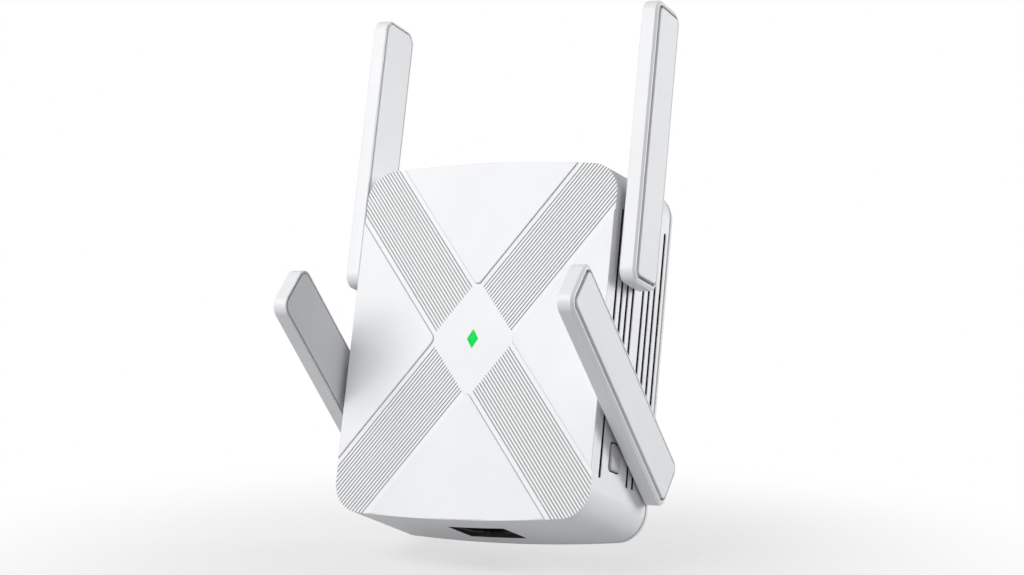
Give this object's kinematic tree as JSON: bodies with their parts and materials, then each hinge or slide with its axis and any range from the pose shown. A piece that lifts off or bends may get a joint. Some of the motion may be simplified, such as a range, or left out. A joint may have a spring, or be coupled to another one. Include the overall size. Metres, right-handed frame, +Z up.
{
  "type": "wifi range extender",
  "caption": "Plug-in Wi-Fi range extender: rounded box with a grooved X relief and diamond indicator, side vents, Ethernet socket underneath, side button and folding blade antennas.",
  "frame": {"origin": "middle of the flat wall face, between the plug blades", "axes": "+Y into the wall, +Z up, +X to the right as seen from the front; the front panel faces -Y"},
  "size_m": [0.0886, 0.0904, 0.1434],
  "materials": {
    "white_plastic": "fine satin-gloss moulded plastic",
    "button_plastic": "satin moulded plastic",
    "indicator_green": "clear light pipe lit green",
    "black_plastic": "matte moulded plastic",
    "capacitor_sleeve": "shrink sleeve",
    "circuit_board": "solder mask on glass laminate",
    "steel": "bright zinc plated",
    "plated_contacts": "gold flash",
    "plug_brass": "nickel plated, brushed",
    "aluminium": "extruded, bead blasted",
    "transformer_tape": "polyester tape",
    "led_package": "moulded",
    "insulator_grey": "moulded",
    "cable_jacket": "smooth jacket"
  },
  "bodies": {
    "housing": {"blade_retainer": "insulator_grey", "board_screw_lower_left": "steel", "board_screw_upper_right": "steel", "bridge_rectifier": "black_plastic", "bulk_capacitor": "capacitor_sleeve", "button_switch": "black_plastic", "coax_lower_left": "cable_jacket", "coax_lower_right": "cable_jacket", "coax_upper_left": "cable_jacket", "coax_upper_right": "cable_jacket", "dc_lead_negative": "cable_jacket", "dc_lead_positive": "cable_jacket", "ethernet_jack": "black_plastic", "ethernet_magnetics": "black_plastic", "front_housing": "white_plastic", "front_panel": "white_plastic", "heat_sink": "aluminium", "housing_screw_lower_left": "steel", "housing_screw_lower_right": "steel", "housing_screw_upper_left": "steel", "housing_screw_upper_right": "steel", "indicator_lens": "indicator_green", "jack_contacts": "plated_contacts", "main_board": "circuit_board", "main_processor": "black_plastic", "output_capacitor": "capacitor_sleeve", "plug_blade_left": "plug_brass", "plug_blade_right": "plug_brass", "power_board": "circuit_board", "power_transformer": "transformer_tape", "rear_cover": "white_plastic", "shield_can_left": "steel", "shield_can_right": "steel", "status_led": "led_package"},
    "antenna_lower_left": {"antenna_lower_left_shell": "white_plastic", "antenna_lower_left_outer_cover": "white_plastic", "antenna_lower_left_inner_cover": "white_plastic", "antenna_lower_left_element": "circuit_board", "antenna_lower_left_clip": "steel"},
    "antenna_lower_right": {"antenna_lower_right_shell": "white_plastic", "antenna_lower_right_outer_cover": "white_plastic", "antenna_lower_right_inner_cover": "white_plastic", "antenna_lower_right_element": "circuit_board", "antenna_lower_right_clip": "steel"},
    "antenna_upper_left": {"antenna_upper_left_shell": "white_plastic", "antenna_upper_left_outer_cover": "white_plastic", "antenna_upper_left_inner_cover": "white_plastic", "antenna_upper_left_element": "circuit_board", "antenna_upper_left_clip": "steel"},
    "antenna_upper_right": {"antenna_upper_right_shell": "white_plastic", "antenna_upper_right_outer_cover": "white_plastic", "antenna_upper_right_inner_cover": "white_plastic", "antenna_upper_right_element": "circuit_board", "antenna_upper_right_clip": "steel"},
    "wps_button": {"wps_button": "button_plastic"}
  },
  "joints": [
    {"name": "antenna_lower_left_hinge", "type": "hinge", "parent": "housing", "child": "antenna_lower_left", "pos_m": [-0.0388, -0.0132, -0.02796], "axis": [1, 0, 0], "range_deg": [-17.9, 32.1]},
    {"name": "antenna_lower_right_hinge", "type": "hinge", "parent": "housing", "child": "antenna_lower_right", "pos_m": [0.0388, -0.0132, -0.02796], "axis": [1, 0, 0], "range_deg": [-17.9, 32.1]},
    {"name": "antenna_upper_left_hinge", "type": "hinge", "parent": "housing", "child": "antenna_upper_left", "pos_m": [-0.0388, -0.03175, 0.0258], "axis": [1, 0, 0], "range_deg": [0, 90]},
    {"name": "antenna_upper_right_hinge", "type": "hinge", "parent": "housing", "child": "antenna_upper_right", "pos_m": [0.0388, -0.03175, 0.0258], "axis": [1, 0, 0], "range_deg": [0, 90]},
    {"name": "wps_button_slide", "type": "slide", "parent": "housing", "child": "wps_button", "axis": [-1, 0, 0], "range_m": [0, 0.0006], "stiffness_N_per_m": 400, "springref_m": -0.0008}
  ]
}
